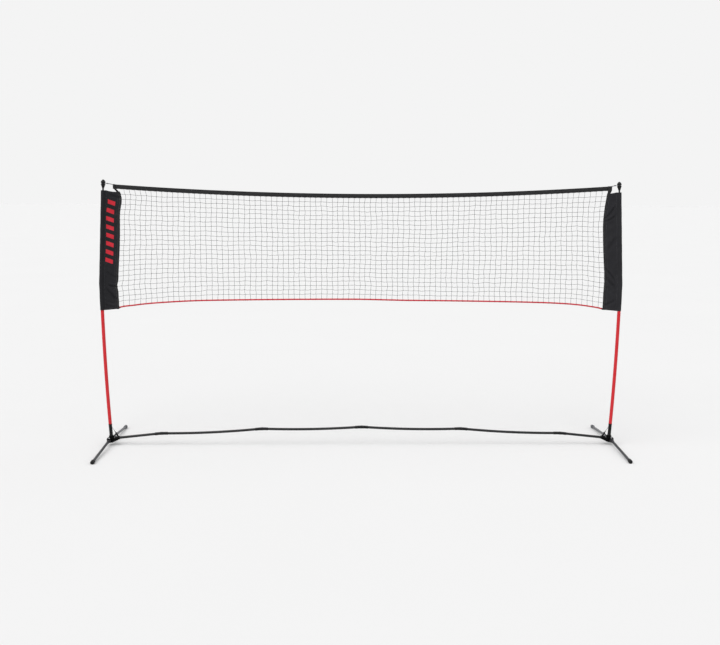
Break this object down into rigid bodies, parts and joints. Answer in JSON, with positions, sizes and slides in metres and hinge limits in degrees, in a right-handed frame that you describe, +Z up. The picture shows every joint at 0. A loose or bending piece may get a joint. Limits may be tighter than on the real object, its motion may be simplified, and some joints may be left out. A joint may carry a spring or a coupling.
{
  "type": "portable lawn net",
  "caption": "Free-standing portable net: two bowed poles in folding-leg hubs joined by an arched base bar, holding a knotted net with a top band and fabric side panels.",
  "frame": {"origin": "on the ground, midway between the two poles and midway between the front and rear feet", "axes": "+X along the net to the right, +Y to the rear, +Z up"},
  "size_m": [3.0804, 0.8088, 1.5746],
  "materials": {
    "hub_plastic": "moulded, fine grain",
    "knuckle_plastic": "moulded",
    "pin_steel": "zinc plated",
    "leg_steel": "satin dark grey",
    "cap_rubber": "moulded rubber",
    "bar_steel": "satin dark grey",
    "connector_plastic": "moulded",
    "shock_cord": "braided elastic",
    "ferrule_plastic": "moulded",
    "pole_red_paint": "gloss red",
    "reducer_plastic": "moulded",
    "rod_fibreglass": "pultruded fibreglass",
    "knob_plastic": "moulded",
    "elastic": "braided elastic",
    "panel_fabric": "woven polyester",
    "tape_webbing": "woven webbing",
    "band_fabric": "woven tape",
    "top_cord": "braided cord",
    "bottom_cord": "braided red cord",
    "net_thread": "knotted polyethylene thread"
  },
  "bodies": {
    "base": {"hub_left": "hub_plastic", "hub_right": "hub_plastic", "leg_pins_left": "pin_steel", "leg_pins_right": "pin_steel", "bar_tube_end_left": "bar_steel", "bar_tube_outer_left": "bar_steel", "bar_tube_inner_left": "bar_steel", "bar_tube_inner_right": "bar_steel", "bar_tube_outer_right": "bar_steel", "bar_tube_end_right": "bar_steel", "bar_connector_outer_left": "connector_plastic", "bar_connector_inner_left": "connector_plastic", "bar_connector_middle": "connector_plastic", "bar_connector_inner_right": "connector_plastic", "bar_connector_outer_right": "connector_plastic", "bar_shock_cord": "shock_cord"},
    "leg_front_left": {"leg_knuckle_front_left": "knuckle_plastic", "leg_tube_front_left": "leg_steel", "foot_cap_front_left": "cap_rubber"},
    "leg_rear_left": {"leg_knuckle_rear_left": "knuckle_plastic", "leg_tube_rear_left": "leg_steel", "foot_cap_rear_left": "cap_rubber"},
    "leg_front_right": {"leg_knuckle_front_right": "knuckle_plastic", "leg_tube_front_right": "leg_steel", "foot_cap_front_right": "cap_rubber"},
    "leg_rear_right": {"leg_knuckle_rear_right": "knuckle_plastic", "leg_tube_rear_right": "leg_steel", "foot_cap_rear_right": "cap_rubber"},
    "net_frame": {"pole_ferrule_left": "ferrule_plastic", "pole_ferrule_right": "ferrule_plastic", "pole_tube_left": "pole_red_paint", "pole_tube_right": "pole_red_paint", "pole_reducer_left": "reducer_plastic", "pole_reducer_right": "reducer_plastic", "pole_rod_left": "rod_fibreglass", "pole_rod_right": "rod_fibreglass", "knob_left": "knob_plastic", "knob_right": "knob_plastic", "pole_elastic_left": "elastic", "pole_elastic_right": "elastic", "tether_left": "elastic", "tether_right": "elastic", "side_panel_left": "panel_fabric", "side_panel_right": "panel_fabric", "edge_tape_left": "tape_webbing", "edge_tape_right": "tape_webbing", "top_band": "band_fabric", "top_cord": "top_cord", "bottom_cord": "bottom_cord", "net_mesh": "net_thread"}
  },
  "joints": [
    {"name": "leg_front_left_fold", "type": "hinge", "parent": "base", "child": "leg_front_left", "pos_m": [-1.508, -0.022, 0.033], "axis": [0, 0, 1], "range_deg": [0, 90]},
    {"name": "leg_rear_left_fold", "type": "hinge", "parent": "base", "child": "leg_rear_left", "pos_m": [-1.508, 0.022, 0.033], "axis": [0, 0, -1], "range_deg": [0, 90]},
    {"name": "leg_front_right_fold", "type": "hinge", "parent": "base", "child": "leg_front_right", "pos_m": [1.508, -0.022, 0.033], "axis": [0, 0, -1], "range_deg": [0, 90]},
    {"name": "leg_rear_right_fold", "type": "hinge", "parent": "base", "child": "leg_rear_right", "pos_m": [1.508, 0.022, 0.033], "axis": [0, 0, 1], "range_deg": [0, 90]},
    {"name": "net_lift", "type": "slide", "parent": "base", "child": "net_frame", "axis": [0, 0, 1], "range_m": [0, 0.06], "deforming": ["tether_left", "tether_right"]}
  ]
}
